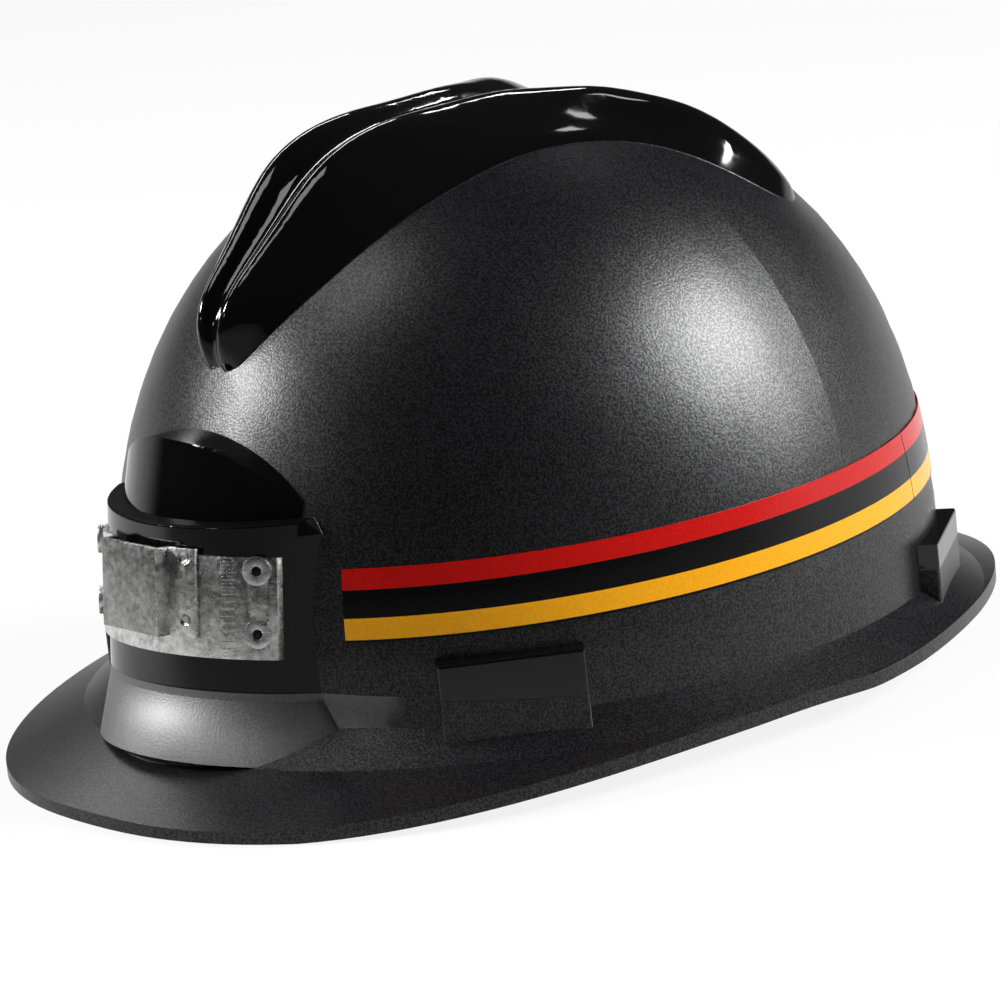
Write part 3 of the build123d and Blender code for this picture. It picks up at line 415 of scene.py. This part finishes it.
def galvanised(name, greys, with_marks=False, painted_dark_face_greys=None):
    material, tree, output = new_material(name)
    steel = shader(tree, output)
    place = object_place(tree)
    x, y, z = parts_of(tree, place)
    shade = tree.nodes.new("ShaderNodeRGBToBW")
    tree.links.new(voronoi(tree, place, spangle_size)["Color"], shade.inputs[0])
    mottle = noise(tree, place, 0.0018, 6.0, 0.7)
    smear = noise(tree, place, 0.011, 4.0, 0.6)
    blotch = maths(tree, "ADD", product(tree, mottle, 0.6), product(tree, smear, 0.4))
    blotch = ramp(tree, blotch, 0.34, 0.66)
    tint = mixed(tree, blotch, *greys)
    side = maths(tree, "ABSOLUTE", x)
    # Darker greys on the bridge's face, within face_end of the middle, are a painted dark reflection.
    if painted_dark_face_greys:
        at_flange = ramp(tree, side, face_end - 0.001, face_end + 0.001)
        tint = mixed(tree, at_flange, mixed(tree, blotch, *painted_dark_face_greys), tint)
    tree.links.new(tint, steel.inputs["Base Color"])
    steel.inputs["Metallic"].default_value = 1.0
    rough = maths(tree, "MULTIPLY_ADD", shade.outputs[0], 0.12, 0.14)
    tree.links.new(maths(tree, "MULTIPLY_ADD", mottle, 0.20, rough), steel.inputs["Roughness"])
    skin = bumped(tree, noise(tree, place, 0.0009, 5.0, 0.65), 0.00012)
    skin = bumped(tree, noise(tree, place, 0.008, 2.0), 0.00045, skin)
    if with_marks:
        ladder = ramp(tree, maths(tree, "PINGPONG", z, tick_pitch / 2), 0.00032, 0.00052)
        column = between(tree, side, tick_start - 0.0001, tick_start, tick_end, tick_end + 0.0001)
        skin = bumped(tree, product(tree, ladder, column), tick_depth, skin)
        for weld_height in weld_heights:
            over = maths(tree, "SUBTRACT", z, weld_height)
            out = maths(tree, "SUBTRACT", side, weld_across)
            distance = maths(tree, "SQRT", squares(tree, over, out))
            skin = bumped(tree, ramp(tree, distance, weld_inner, weld_outer), weld_depth, skin)
    tree.links.new(skin, steel.inputs["Normal"])
    return material


dress(rounded_copy("bracket_base_plate"), galvanised("pressed_steel", plate_steel, True))
# The bridge's steel carries a painted dark reflection on its face, darker than its flanges.
dress(rounded_copy("bracket_bridge"), galvanised("bridge_steel_painted_dark_face", flange_steel, True, face_steel_painted_dark))
bright_steel = galvanised("bright_steel", plated_steel)
dress(rounded_copy("bracket_rivets"), bright_steel)
for name in ("cable_clip", "rivet_washers", "cable_clip_rivets", "click_spring"):
    dress(nodes[name], bright_steel)

# Striped tape
# Self adhesive reflective tape in three lengths round the dome: a red line and a
# yellow line on black, with the glass bead face of such tape.
tape_low = 0.041
tape_tilt = 0.011
yellow_low, yellow_high = 0.0006, 0.0058
red_low, red_high = 0.0126, 0.0182
line_blur = 0.00006
bead_size = 0.0005
tape_red = (0.42, 0.006, 0.004), (0.34, 0.003, 0.002)
tape_yellow = (0.70, 0.32, 0.001), (0.60, 0.26, 0.001)
tape_black = (0.0015, 0.0015, 0.0018)
material, tree, output = new_material("striped_tape")
film = shader(tree, output)
place = object_place(tree)
x, y, z = parts_of(tree, place)
base_line = maths(tree, "MULTIPLY_ADD", y, -tape_tilt, tape_tilt * rim_centre + rest_flat - tape_low)
height = maths(tree, "ADD", z, base_line)
beads = voronoi(tree, place, bead_size)["Distance"]
bead = ramp(tree, beads, 0.0, 0.7)
tint = tape_black
for low, high, colours in ((yellow_low, yellow_high, tape_yellow), (red_low, red_high, tape_red)):
    stripe = between(tree, height, low - line_blur, low + line_blur, high - line_blur, high + line_blur)
    tint = mixed(tree, stripe, tint, mixed(tree, bead, *colours))
tree.links.new(tint, film.inputs["Base Color"])
tree.links.new(maths(tree, "MULTIPLY_ADD", noise(tree, place, 0.01, 3.0), 0.10, 0.16), film.inputs["Roughness"])
film.inputs["Coat Weight"].default_value = 0.15
film.inputs["Coat Roughness"].default_value = 0.05
film.inputs["Specular IOR Level"].default_value = 0.2
tree.links.new(bumped(tree, beads, 0.00003), film.inputs["Normal"])
for name in ("tape_left", "tape_right", "tape_rear"):
    dress(nodes[name], material)

# Hard parts of the harness
# Injection moulded plastic with a fine sparked finish: the keys, the ratchet, the hooks
# and the slider in black, the headband, the nape arms and the racks in grey.
black_parts = (
    "key_front_left", "key_front_right", "key_rear_left", "key_rear_right", "ratchet_housing",
    "ratchet_cover", "ratchet_knob", "pinion", "chin_slider", "chin_hooks",
)
grey_parts = ("headband", "nape_arm_left", "nape_arm_right", "rack_left", "rack_right", "pivot_buttons")


def moulded(name, dark, light, roughness, grain_size, depth):
    material, tree, output = new_material(name)
    resin = shader(tree, output)
    place = object_place(tree)
    grain = noise(tree, place, grain_size, 3.0, 0.6)
    cloud = noise(tree, place, 0.02, 3.0)
    tree.links.new(mixed(tree, ramp(tree, cloud, 0.3, 0.7), dark, light), resin.inputs["Base Color"])
    tree.links.new(maths(tree, "MULTIPLY_ADD", grain, 0.16, roughness), resin.inputs["Roughness"])
    tree.links.new(bumped(tree, grain, depth), resin.inputs["Normal"])
    return material


black_resin = moulded("black_resin", (0.016, 0.016, 0.017), (0.024, 0.024, 0.025), 0.32, 0.0005, 0.00004)
grey_resin = moulded("grey_resin", (0.25, 0.26, 0.25), (0.32, 0.33, 0.32), 0.36, 0.0007, 0.00005)
for name in black_parts:
    dress(nodes[name], black_resin)
for name in grey_parts:
    dress(nodes[name], grey_resin)

# Crown straps
# Two 20 mm polyester webbings, each run from a front key over the head to the rear key
# across from it. The ends turn out through the key windows, are doubled and stitched.
strap_width = 0.020
strap_thickness = 0.0012
strap_reach = 0.094113
strap_spring = 0.034
strap_crown = 0.113
strap_roundness = 2.3
strap_foot_low = 0.0329
strap_foot_reach = 0.004
strap_across = 0.71622
strap_back = 0.69787
strap_middle = (0.000818, 0.002504)
strap_bend = 0.0015
strap_lap = 0.00155
fold_top = 0.058
fold_lift_share = 1.55
fold_seam = (0.009, 0.019)
seam_inset = 0.003
stitch_pitch = 0.0030
rib_width = 0.0011
pick_length = 0.0017
edge_share = 0.36
crease_angle = radians(42)
ribbon_rows, ribbon_columns = 150, 8
foot_steps, arch_steps = 6, 120


def webbing(name, dark, light):
    material, tree, output = new_material(name)
    cloth = shader(tree, output)
    spot = parts_of(tree, tree.nodes.new("ShaderNodeUVMap").outputs["UV"])
    yarn = maths(tree, "ABSOLUTE", maths(tree, "SINE", product(tree, spot[1], 2 * pi / rib_width)))
    row = product(tree, maths(tree, "FLOOR", maths(tree, "DIVIDE", spot[1], rib_width / 2)), pi)
    pick = maths(tree, "SINE", maths(tree, "MULTIPLY_ADD", spot[0], 2 * pi / pick_length, row))
    weave = product(tree, yarn, maths(tree, "MULTIPLY_ADD", pick, 0.35, 0.65))
    fuzz = noise(tree, object_place(tree), 0.0004, 4.0, 0.7)
    shade = maths(tree, "ADD", product(tree, weave, 0.7), product(tree, fuzz, 0.3))
    tree.links.new(mixed(tree, ramp(tree, shade, 0.1, 0.85), dark, light), cloth.inputs["Base Color"])
    cloth.inputs["Roughness"].default_value = 0.78
    cloth.inputs["Sheen Weight"].default_value = 0.25
    cloth.inputs["Sheen Roughness"].default_value = 0.5
    tree.links.new(bumped(tree, shade, 0.00022), cloth.inputs["Normal"])
    return material


def thread(name, colour):
    material, tree, output = new_material(name)
    yarn = shader(tree, output)
    fuzz = noise(tree, object_place(tree), 0.0002, 2.0)
    tree.links.new(mixed(tree, fuzz, tuple(0.6 * part for part in colour), colour), yarn.inputs["Base Color"])
    yarn.inputs["Roughness"].default_value = 0.6
    tree.links.new(bumped(tree, fuzz, 0.00008), yarn.inputs["Normal"])
    return material


def lengths_of(points):
    return [(second - first).length for first, second in zip(points, points[1:])]


def along_line(points, share):
    lengths = lengths_of(points)
    rest = share * sum(lengths)
    for first, second, length in zip(points, points[1:], lengths):
        if rest <= length:
            break
        rest -= length
    tangent = (second - first).normalized()
    return first + tangent * rest, tangent


def grid(name, along, across):
    bpy.ops.object.select_all(action="DESELECT")
    bpy.ops.mesh.primitive_grid_add(x_subdivisions=along, y_subdivisions=across, size=1, location=(0, 0, 0))
    bpy.context.object.name = name
    return bpy.context.object


def finish_with(piece, *modifiers):
    bpy.ops.object.select_all(action="DESELECT")
    piece.select_set(True)
    bpy.context.view_layer.objects.active = piece
    for kind, settings in modifiers:
        modifier = piece.modifiers.new(kind, kind)
        for setting, value in settings.items():
            setattr(modifier, setting, value)
        bpy.ops.object.modifier_apply(modifier=modifier.name)
    bpy.ops.object.shade_smooth_by_angle(angle=crease_angle)


def ribbon(name, points, side, width, thickness):
    piece = grid(name, ribbon_rows, ribbon_columns)
    length = sum(lengths_of(points))
    spots = {}
    for vertex in piece.data.vertices:
        u, v = vertex.co.x + 0.5, vertex.co.y
        place, tangent = spots.setdefault(round(u, 5), along_line(points, min(u, 0.999999)))
        vertex.co = place + side * (v * width)
    for corner in piece.data.uv_layers.active.data:
        corner.uv = (corner.uv[0] * length, corner.uv[1] * width)
    edge = thickness * edge_share
    woven_edge = {"width": edge, "segments": 3, "limit_method": "ANGLE", "angle_limit": radians(50)}
    finish_with(piece, ("SOLIDIFY", {"thickness": thickness, "offset": 0.0}), ("BEVEL", woven_edge))
    return piece


def stitches(name, spots, length=0.0022, width=0.0005, rise=0.0003):
    bpy.ops.object.select_all(action="DESELECT")
    bpy.ops.mesh.primitive_uv_sphere_add(segments=6, ring_count=5, radius=0.5, location=(0, 0, 0))
    seed = bpy.context.object
    knots = [vertex.co.copy() for vertex in seed.data.vertices]
    faces = [tuple(face.vertices) for face in seed.data.polygons]
    bpy.ops.object.delete()
    points, polygons = [], []
    for place, tangent, normal in spots:
        across = normal.cross(tangent).normalized()
        first = len(points)
        ahead, aside, out = tangent * length, across * width, normal * rise
        points += [place + ahead * knot.x + aside * knot.y + out * knot.z for knot in knots]
        polygons += [tuple(first + index for index in face) for face in faces]
    mesh = bpy.data.meshes.new(name)
    mesh.from_pydata(points, [], polygons)
    piece = bpy.data.objects.new(name, mesh)
    bpy.context.scene.collection.objects.link(piece)
    finish_with(piece)
    return piece


def stitched_box(points, side, start, end, half, normal_side, lift):
    spots = []
    for step in range(int((end - start) / stitch_pitch) + 1):
        for turn in (-1, 1):
            spots.append((start + stitch_pitch * step, turn * half, False))
    for step in range(int(2 * half / stitch_pitch) + 1):
        for edge in (start, end):
            spots.append((edge, -half + stitch_pitch * step, True))
    total = sum(lengths_of(points))
    result = []
    for distance, offset, turned in spots:
        place, tangent = along_line(points, distance / total)
        normal = side.cross(tangent).normalized() * normal_side
        result.append((place + side * offset + normal * lift, side if turned else tangent, normal))
    return result


def strap_line(turn, lift, inset):
    flat = Vector((-turn * strap_across, strap_back, 0))
    middle = Vector((turn * strap_middle[0], strap_middle[1], 0))
    foot = strap_foot_low + strap_thickness / 2
    line = [(strap_reach + strap_foot_reach - strap_thickness / 2, foot)]
    corner = strap_reach - inset
    for step in range(foot_steps + 1):
        angle = pi / 2 * step / foot_steps
        line.append((corner + strap_bend * (1 - sin(angle)), foot + strap_bend * (1 - cos(angle))))
    rise = strap_crown + lift - strap_spring - inset
    power = 2 / strap_roundness
    for step in range(arch_steps + 1):
        angle = pi / 2 * (step / arch_steps) ** 1.35
        line.append((corner * cos(angle) ** power, strap_spring + rise * sin(angle) ** power))
    line += [(-x, z) for x, z in reversed(line[:-1])]
    return [middle + flat * x + Vector((0, 0, z)) for x, z in line], flat


crown_webbing = webbing("crown_webbing", (0.020, 0.020, 0.022), (0.085, 0.085, 0.092))
white_thread = thread("white_thread", (0.55, 0.55, 0.53))
for name, turn, lift in (("crown_strap_front_left", 1, 0.0), ("crown_strap_front_right", -1, strap_lap)):
    points, flat = strap_line(turn, lift, strap_thickness / 2)
    side = flat.cross(Vector((0, 0, 1)))
    piece = ribbon(name.replace("strap", "webbing"), points, side, strap_width, strap_thickness)
    dress(piece, crown_webbing)
    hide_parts(name)
    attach(piece, "helmet")
    inner, flat = strap_line(turn, lift, strap_thickness * fold_lift_share)
    above_foot = inner[foot_steps + 2:-foot_steps - 2]
    fold = [place for place in above_foot if place.z < fold_top]
    half_way = len(fold) // 2
    for end, run, outward in (("front", fold[:half_way], -1), ("rear", fold[half_way:][::-1], 1)):
        layer = ribbon(f"{name}_{end}_fold", run, side, strap_width - 0.001, strap_thickness)
        dress(layer, crown_webbing)
        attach(layer, "helmet")
        spots = stitched_box(run, side, *fold_seam, strap_width / 2 - seam_inset, outward, strap_thickness / 2)
        seam = stitches(f"{name}_{end}_stitches", spots)
        dress(seam, white_thread)
        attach(seam, "helmet")

# Crown patch
# A padded square of coated cloth sewn on top of the crossing, so that the two straps
# keep their places. It's filled with 2 mm foam and stitched round its edge.
patch_half = 0.016
patch_low = 0.1149
patch_rise = 0.0014
patch_back = 0.002504
patch_power = 7.0
patch_seam = 0.0005
padded_stitch = 0.0018
seam_share = 0.84


def closed_form(name, along, across, shape):
    piece = grid(name, along, across)
    for vertex in piece.data.vertices:
        vertex.co = shape(vertex.co.x + 0.5, vertex.co.y + 0.5)
    bpy.ops.object.mode_set(mode="EDIT")
    bpy.ops.mesh.select_all(action="SELECT")
    bpy.ops.mesh.remove_doubles(threshold=0.000002)
    bpy.ops.mesh.select_all(action="DESELECT")
    bpy.ops.mesh.select_non_manifold()
    bpy.ops.mesh.fill_holes(sides=0)
    bpy.ops.mesh.select_all(action="SELECT")
    bpy.ops.mesh.normals_make_consistent(inside=False)
    bpy.ops.object.mode_set(mode="OBJECT")
    finish_with(piece)
    return piece


def rounded_square(angle, power):
    return (abs(cos(angle)) ** power + abs(sin(angle)) ** power) ** (-1 / power)


def dip(distance, width):
    return 2.718 ** (-(distance / width) ** 2)


def pillow(half_width, half_height, power, thickness, seam_depth):
    def shape(u, v):
        angle = 2 * pi * u
        round_off = rounded_square(angle, power)
        if v < 0.35:
            reach, rise = v / 0.35 * 0.95, 0.0
        else:
            turn = (v - 0.35) / 0.65
            reach = 0.95 + 0.05 * sin(pi * turn / 0.3) if turn < 0.15 else 1 - (turn - 0.15) / 0.85
            rise = thickness * (0.62 * min(turn / 0.15, 1.0) + 0.38 * (1 - max(reach, 0.0) ** 4))
            rise -= seam_depth * dip(reach - seam_share, 0.035)
        return cos(angle) * round_off * half_width * reach, sin(angle) * round_off * half_height * reach, rise
    return shape


def rim_spots(half_width, half_height, power, lift, count, place):
    spots = []
    for step in range(count):
        pair = []
        for angle in (2 * pi * step / count, 2 * pi * (step + 0.05) / count):
            reach = rounded_square(angle, power) * seam_share
            pair.append(place(cos(angle) * reach * half_width, sin(angle) * reach * half_height, lift))
        outward = place(0, 0, 1) - place(0, 0, 0)
        spots.append((pair[0], (pair[1] - pair[0]).normalized(), outward.normalized()))
    return spots


def padded_cloth(name, dark, light, size, depth):
    material, tree, output = new_material(name)
    cloth = shader(tree, output)
    place = object_place(tree)
    cells = voronoi(tree, place, size)["Distance"]
    knit = maths(tree, "MULTIPLY_ADD", noise(tree, place, size * 0.4, 3.0, 0.65), 0.5, cells)
    tree.links.new(mixed(tree, ramp(tree, knit, 0.2, 0.9), light, dark), cloth.inputs["Base Color"])
    cloth.inputs["Roughness"].default_value = 0.82
    cloth.inputs["Sheen Weight"].default_value = 0.35
    tree.links.new(bumped(tree, knit, depth), cloth.inputs["Normal"])
    return material


coated_cloth = padded_cloth("coated_cloth", (0.018, 0.018, 0.019), (0.055, 0.055, 0.057), 0.0011, 0.00015)
patch_form = pillow(patch_half, patch_half, patch_power, patch_rise, patch_seam)


def on_patch(x, y, z):
    return Vector((x, patch_back + y, patch_low + z))


patch = closed_form("crown_pad", 96, 60, lambda u, v: on_patch(*patch_form(u, v)))
dress(patch, coated_cloth)
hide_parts("crown_patch")
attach(patch, "helmet")
spots = rim_spots(patch_half, patch_half, patch_power, patch_rise * 0.62, 44, on_patch)
seam = stitches("crown_pad_stitches", spots, padded_stitch)
dress(seam, white_thread)
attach(seam, "helmet")

# Sweatband
# A strip of foam faced with perforated coated cloth, sewn along both edges and pressed
# on the headband's brow from ear to ear.
head_centre = 0.001
band_half_width = 0.0778
band_half_length = 0.0978
sweat_outer = -0.0017
sweat_thickness = 0.0024
sweat_low = 0.0225
sweat_high = 0.0555
sweat_angle = 62.0
sweat_middle = (sweat_low + sweat_high) / 2
sweat_half_height = (sweat_high - sweat_low) / 2
puff_count = 7
hole_pitch = 0.0045
band_mean_radius = 0.088
hole_inner, hole_outer = 0.010, 0.022
sweat_black = (0.028, 0.028, 0.030), (0.060, 0.060, 0.062)
hole_black = (0.004, 0.004, 0.004)
brow_seam_angle = 58.0
brow_seam_count = 64


def on_band(angle, offset, z):
    a = radians(angle)
    return Vector(((band_half_width + offset) * cos(a), head_centre + (band_half_length + offset) * sin(a), z))


def sweat_shape(u, v):
    spread = 2 * u - 1
    thin = 0.35 + 0.65 * (1 - abs(spread) ** 14)
    tall = 1 - 0.10 * abs(spread) ** 10
    angle = 2 * pi * v
    across, deep = cos(angle), sin(angle)
    rise = abs(across) ** 0.35 * (1 if across > 0 else -1)
    depth = abs(deep) ** 0.5
    z = sweat_middle + sweat_half_height * tall * rise
    if deep > 0:
        sewn = 0.45 * dip(abs(rise) - seam_share, 0.03)
        puff = (0.10 + 0.06 * cos(2 * pi * spread * puff_count)) * (1 - rise ** 2)
        offset = sweat_outer - sweat_thickness * thin * depth * (0.84 + puff - sewn)
    else:
        offset = sweat_outer
    return on_band(-90 + sweat_angle * spread, offset, z)


def foam_face(name):
    material, tree, output = new_material(name)
    cloth = shader(tree, output)
    place = object_place(tree)
    x, y, z = parts_of(tree, place)
    turn = maths(tree, "ARCTAN2", x, maths(tree, "SUBTRACT", head_centre, y))
    column = maths(tree, "FRACT", product(tree, turn, band_mean_radius / hole_pitch))
    row = maths(tree, "FRACT", maths(tree, "DIVIDE", z, hole_pitch))
    spread = squares(tree, maths(tree, "SUBTRACT", column, 0.5), maths(tree, "SUBTRACT", row, 0.5))
    hole = ramp(tree, spread, hole_inner, hole_outer, 1.0, 0.0)
    grain = noise(tree, place, 0.0012, 4.0, 0.6)
    tint = mixed(tree, ramp(tree, grain, 0.3, 0.7), *sweat_black)
    tree.links.new(mixed(tree, hole, tint, hole_black), cloth.inputs["Base Color"])
    cloth.inputs["Roughness"].default_value = 0.62
    bump = bumped(tree, grain, 0.00012)
    tree.links.new(bumped(tree, maths(tree, "SUBTRACT", 1.0, hole), 0.0004, bump), cloth.inputs["Normal"])
    return material


sweat = closed_form("brow_foam", 170, 56, sweat_shape)
dress(sweat, foam_face("perforated_cloth"))
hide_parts("sweatband")
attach(sweat, "helmet")
spots = []
for step in range(brow_seam_count):
    angle = -90 + brow_seam_angle * (2 * step / (brow_seam_count - 1) - 1)
    for z in (sweat_middle - sweat_half_height * seam_share, sweat_middle + sweat_half_height * seam_share):
        place = on_band(angle, sweat_outer - sweat_thickness * 0.44, z)
        ahead = (on_band(angle + 0.2, -0.003, z) - on_band(angle - 0.2, -0.003, z)).normalized()
        spots.append((place, ahead, ahead.cross(Vector((0, 0, 1)))))
seam = stitches("brow_foam_stitches", spots, 0.0020)
dress(seam, white_thread)
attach(seam, "helmet")

# Nape pad
# Soft foam with a knitted face on the head side of the ratchet housing. It is crowned,
# pulled in along its edge seam, and turns with the nape arms.
nape_height = 0.038
nape_face = 0.08575
nape_half_width = 0.025
nape_half_height = 0.013
nape_thickness = 0.005
nape_power = 3.6
nape_seam = 0.0009
nape_form = pillow(nape_half_width, nape_half_height, nape_power, nape_thickness, nape_seam)


def on_nape(x, z, depth):
    return Vector((x, nape_face - depth, nape_height + z))


pad = closed_form("nape_cushion", 120, 60, lambda u, v: on_nape(*nape_form(u, v)))
dress(pad, padded_cloth("knitted_face", (0.020, 0.020, 0.022), (0.070, 0.070, 0.074), 0.0009, 0.0002))
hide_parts("nape_pad")
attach(pad, "nape")
spots = rim_spots(nape_half_width, nape_half_height, nape_power, nape_thickness * 0.66, 52, on_nape)
seam = stitches("nape_cushion_stitches", spots, padded_stitch)
dress(seam, white_thread)
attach(seam, "nape")

# Chin strap
# A 14 mm webbing put away round the outside of the headband, between its two hooks,
# with its slider. The ends are stitched behind the hooks.
chin_offset = 0.0032
chin_middle = 0.037
chin_width = 0.014
chin_thickness = 0.0012
chin_end = 9.0
chin_seam = (0.044, 0.052)
chin_seam_half = 0.0045
chin_seam_lift = 0.0007
chin_turn = 180 - 2 * chin_end
chin_steps = 160
chin_side = Vector((0, 0, 1))
line = [on_band(-chin_end - chin_turn * step / chin_steps, chin_offset, chin_middle)
        for step in range(chin_steps + 1)]
piece = ribbon("chin_webbing", line, chin_side, chin_width, chin_thickness)
dress(piece, webbing("chin_webbing", (0.018, 0.018, 0.020), (0.075, 0.075, 0.080)))
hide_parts("chin_strap")
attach(piece, "helmet")
spots = stitched_box(line, chin_side, *chin_seam, chin_seam_half, 1, chin_seam_lift)
spots += stitched_box(line[::-1], chin_side, *chin_seam, chin_seam_half, -1, chin_seam_lift)
seam = stitches("chin_webbing_stitches", spots, 0.0018, 0.0004, 0.0002)
dress(seam, white_thread)
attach(seam, "helmet")
